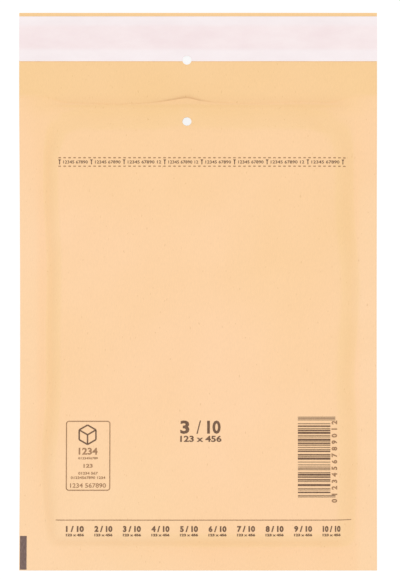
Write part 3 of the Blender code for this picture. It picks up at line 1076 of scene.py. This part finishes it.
def print_tear_band(ink):
    """Small figures between the dashed lines, parted by pointers."""
    band = Print("print_tear_band")
    x = BAND_LEFT
    middle = (BAND_LOW + BAND_HIGH) / 2
    top, tip = middle + POINTER_TOP, middle + POINTER_TIP
    for part in (*BAND_PARTS, None):
        band.stroke((x, middle + POINTER_FOOT), (x, middle + STEM_TOP), STEM_LINE)
        corners = [(x - POINTER_HALF_WIDTH, top), (x, tip), (x + POINTER_HALF_WIDTH, top)]
        band.add(corners, [(0, 1, 2)])
        if part:
            text = "12345 67890" if part < LONG_PART else "12345 67890 12"
            width = part - PART_MARGIN
            band.figures(text, x + part / 2, middle, width, PART_HEIGHT, FINE_WEIGHT)
            x += part
    band.lay(ink)


# The size in the middle, as (figures, x, along, width, height, weight)
SIZE_FIGURES = (
    ("3", -0.0063, 0.0684, 0.0043, 0.0063, STRONG_WEIGHT),
    ("/", 0.0003, 0.0684, 0.0022, 0.0063, 0.0),
    ("10", 0.0075, 0.0684, 0.0064, 0.0063, STRONG_WEIGHT),
    ("123 x 456", 0.0013, 0.0629, 0.0196, 0.0030, WEIGHT),
)


def print_size(ink):
    """Large figures in the middle, and smaller ones under them."""
    size = Print("print_size")
    for row in SIZE_FIGURES:
        size.figures(*row)
    size.lay(ink)


# The rule and the table
RULE_LEFT = -0.0676
RULE_RIGHT = 0.0727
RULE_ALONG = 0.0244
RULE_WIDTH = 0.0004
PLACES = 10
FIRST_PLACE = -0.0584
PLACE_PITCH = 0.01352
PLACE_ALONG = 0.0202
PLACE_SIZE = (0.0085, 0.0029)
NOTE_ALONG = 0.0173
NOTE_SIZE = (0.0086, 0.0013)


def print_table(ink, pale_ink):
    """The rule near the bottom, and a row of numbered places under it."""
    rule = Print("print_rule")
    rule.stroke((RULE_LEFT, RULE_ALONG), (RULE_RIGHT, RULE_ALONG), RULE_WIDTH)
    rule.lay(pale_ink)

    table = Print("print_table")
    for i in range(PLACES):
        x = FIRST_PLACE + PLACE_PITCH * i
        table.figures(f"{i + 1} / {PLACES}", x, PLACE_ALONG, *PLACE_SIZE, BOLD_WEIGHT)
        table.figures("123 x 456", x, NOTE_ALONG, *NOTE_SIZE, BOLD_WEIGHT)
    table.lay(ink)


# The field of stripes, with longer bars at both ends. Widths, gaps and margins in it are
# counted in modules, the width of the thinnest stripe.
FIELD_LEFT = 0.0473
FIELD_RIGHT = 0.0627
BARS_RIGHT = 0.0651
FIELD_LOW = 0.0352
FIELD_HIGH = 0.0733
MODULE = 0.00033
LOW_BARS = 2
HIGH_BARS = 3
LOW_MARGIN = 6
HIGH_MARGIN = 9
STRIPE_WIDTHS = (1, 1, 1, 2, 3)
STRIPE_GAPS = (1, 1, 2, 3)
DIGIT_X = 0.0646
DIGIT_DROP = 0.0017
DIGIT_PITCH = 0.00309
DIGIT_HEIGHT = 0.0027


def print_stripes(ink, pale_ink):
    """A field of stripes of mixed widths, which stand for nothing, with figures beside."""
    field = Print("print_stripes")
    high_start = FIELD_HIGH - (2 * HIGH_BARS - 1) * MODULE
    for start, count in ((FIELD_LOW, LOW_BARS), (high_start, HIGH_BARS)):
        for i in range(count):
            at = start + 2 * MODULE * i
            field.bar(FIELD_LEFT, at, BARS_RIGHT, at + MODULE)
    random = np.random.RandomState(23)
    at = FIELD_LOW + LOW_MARGIN * MODULE
    while at < FIELD_HIGH - HIGH_MARGIN * MODULE:
        width = MODULE * random.choice(STRIPE_WIDTHS)
        field.bar(FIELD_LEFT, at, FIELD_RIGHT, at + width)
        at += width + MODULE * random.choice(STRIPE_GAPS)
    field.lay(ink)

    numbers = Print("print_stripe_figures")
    for i, digit in enumerate("0123456789012"):
        along = FIELD_LOW - DIGIT_DROP + DIGIT_PITCH * i
        numbers.turned_figure(digit, DIGIT_X, along, DIGIT_HEIGHT, HEAVY_WEIGHT)
    numbers.lay(pale_ink)


# The label's rounded frame, the parcel drawn in it, and its rows of figures, as (figures,
# along, width, height, weight)
LABEL_LEFT = -0.0628
LABEL_RIGHT = -0.0417
LABEL_LOW = 0.0383
LABEL_HIGH = 0.0714
LABEL_RADIUS = 0.0014
LABEL_LINE = 0.00048
LABEL_MIDDLE = (LABEL_LEFT + LABEL_RIGHT) / 2
PARCEL_X = LABEL_MIDDLE - 0.0003
PARCEL_ALONG = 0.0648
PARCEL_SIZE = 0.0046
PARCEL_LINE = 0.0007
LABEL_FIGURES = (
    ("1234", 0.0570, 0.0090, 0.0033, WEIGHT),
    ("0123456789", 0.0537, 0.0093, 0.0011, WEIGHT),
    ("123", 0.0501, 0.0043, 0.0018, WEIGHT),
    ("01234 567", 0.0466, 0.0093, 0.0013, WEIGHT),
    ("01234567890 1234", 0.0445, 0.0164, 0.0013, WEIGHT),
    ("1234 567890", 0.0408, 0.0170, 0.0022, FINE_WEIGHT),
)


def print_label(pale_ink):
    """A rounded frame, and rows of small figures in its lower part."""
    label = Print("print_label")
    label.outline(LABEL_LEFT, LABEL_LOW, LABEL_RIGHT, LABEL_HIGH, LABEL_RADIUS, LABEL_LINE)
    for text, *place in LABEL_FIGURES:
        label.figures(text, LABEL_MIDDLE, *place)
    label.lay(pale_ink)


def print_parcel(ink):
    """A box seen from its corner: a hexagon with three edges that meet inside."""
    parcel = Print("print_parcel")
    corners = []
    for i in range(6):
        turn = math.radians(30 + 60 * i)
        x = PARCEL_X + PARCEL_SIZE * math.cos(turn)
        corners.append((x, PARCEL_ALONG + PARCEL_SIZE * math.sin(turn)))
    for start, end in zip(corners, corners[1:] + corners[:1]):
        parcel.stroke(start, end, PARCEL_LINE)
    for corner in corners[::2]:
        parcel.stroke((PARCEL_X, PARCEL_ALONG), corner, PARCEL_LINE)
    parcel.lay(ink)


MARK_MARGIN = 0.0003
MARK_RIGHT = -0.0815
MARK_LOW = 0.0005
MARK_HIGH = 0.0165


def print_edge_mark(ink):
    """The dark registration mark at the left edge, over the bottom corner."""
    mark = Print("print_edge_mark")
    mark.bar(-HALF_WIDTH + MARK_MARGIN, MARK_LOW, MARK_RIGHT, MARK_HIGH)
    mark.lay(ink)


# Light: even from all round, and a broad lamp overhead, a little to the left
AMBIENT = 0.93
KEY_PLACE = (-0.06, -0.02, 1.6)
KEY_SIZE = 1.0
KEY_POWER = 3.6
FLOOR_GAP = 0.0001
FLOOR_COLOUR = 0.8
FLOOR_PALENESS = 0.18
FLOOR_GLOW = 0.88

# Camera: straight above, at the scale and with the framing of the photo
PIXELS_PER_METRE = 2107.0
PHOTO_HEIGHT = 580
LENS = 200.0
SENSOR = 36.0
CAMERA_OFFSET = (0.0009, 0.0008)
CLIP_START = 0.01


def mix_by_ray(tree, unseen, seen, output_kind):
    """Shows one shader where the camera can see it, and lights by the other one."""
    mix = add_node(tree, "MixShader", Fac=seen_rays(tree))
    feed(mix.inputs[1], unseen.outputs[0])
    feed(mix.inputs[2], seen.outputs[0])
    add_node(tree, output_kind, Surface=mix.outputs[0])


def set_world():
    """Even light from all round, which shows as white where the camera sees it."""
    world = bpy.data.worlds.new("studio")
    bpy.context.scene.world = world
    world.use_nodes = True
    tree = world.node_tree
    tree.nodes.clear()
    light = add_node(tree, "Background", Color=grey(1.0), Strength=AMBIENT)
    white = add_node(tree, "Background", Color=grey(1.0), Strength=1.0)
    mix_by_ray(tree, light, white, "OutputWorld")


def seen_rays(tree):
    """1 for rays from the camera, in reflections or through clear film, and else 0."""
    rays = add_node(tree, "LightPath").outputs
    names = ("Is Camera Ray", "Is Glossy Ray", "Is Transmission Ray")
    return calculate(tree, "MAXIMUM", *(rays[name] for name in names))


def build_floor():
    """A pale floor. What the camera sees of it is nearly white, with a soft shadow."""
    mesh = bpy.data.meshes.new("floor")
    size = 3.0
    corners = [(-size, -size, 0), (size, -size, 0), (size, size, 0), (-size, size, 0)]
    mesh.from_pydata(corners, [], [(0, 1, 2, 3)])
    floor = add_object("floor", mesh)
    floor.location.z = COVER_LOW.z - FLOOR_GAP
    material = bpy.data.materials.new("floor")
    material.use_nodes = True
    tree = material.node_tree
    tree.nodes.clear()
    real = add_node(tree, "BsdfDiffuse", Color=grey(FLOOR_COLOUR))
    pale = add_node(tree, "BsdfDiffuse", Color=grey(FLOOR_PALENESS))
    glow = add_node(tree, "Emission", Color=grey(1.0), Strength=FLOOR_GLOW)
    seen = add_node(tree, "AddShader")
    feed(seen.inputs[0], pale.outputs[0])
    feed(seen.inputs[1], glow.outputs[0])
    mix_by_ray(tree, real, seen, "OutputMaterial")
    mesh.materials.append(material)


def add_key_light():
    """A soft square lamp that faces the envelope."""
    data = bpy.data.lights.new("key", "AREA")
    data.size = KEY_SIZE
    data.energy = KEY_POWER
    lamp = add_object("key", data)
    lamp.location = KEY_PLACE
    lamp.rotation_mode = "QUATERNION"
    lamp.rotation_quaternion = (-Vector(KEY_PLACE)).to_track_quat("-Z", "Y")
    lamp.visible_camera = False


def add_camera():
    data = bpy.data.cameras.new("camera")
    data.lens = LENS
    data.sensor_width = SENSOR
    camera = add_object("camera", data)
    seen = PHOTO_HEIGHT / PIXELS_PER_METRE
    distance = seen / 2 / (SENSOR / 2 / LENS)
    camera.location = (*CAMERA_OFFSET, COVER_HIGH.z / 2 + distance)
    data.clip_start = CLIP_START
    bpy.context.scene.camera = camera


def build_envelope():
    outer = kraft_material("kraft_outer", colour(251, 209, 164), roughness=0.62)
    inner = kraft_material("kraft_inner", colour(250, 209, 163), roughness=0.72)
    build_cover(outer, inner)
    build_lining(film_material())
    build_flap_strips(adhesive_material(), release_material())


def print_all():
    ink = ink_material("ink", colour(104, 78, 58))
    pale_ink = ink_material("pale_ink", colour(150, 114, 82))
    print_tear_dashes(pale_ink)
    print_tear_band(ink)
    print_size(ink)
    print_table(ink, pale_ink)
    print_stripes(ink, pale_ink)
    print_label(pale_ink)
    print_parcel(ink)
    print_edge_mark(ink_material("mark_ink", colour(106, 86, 80)))


def main():
    bpy.context.scene.view_settings.view_transform = "Standard"
    add_camera()
    set_world()
    build_floor()
    add_key_light()
    build_envelope()
    print_all()


main()
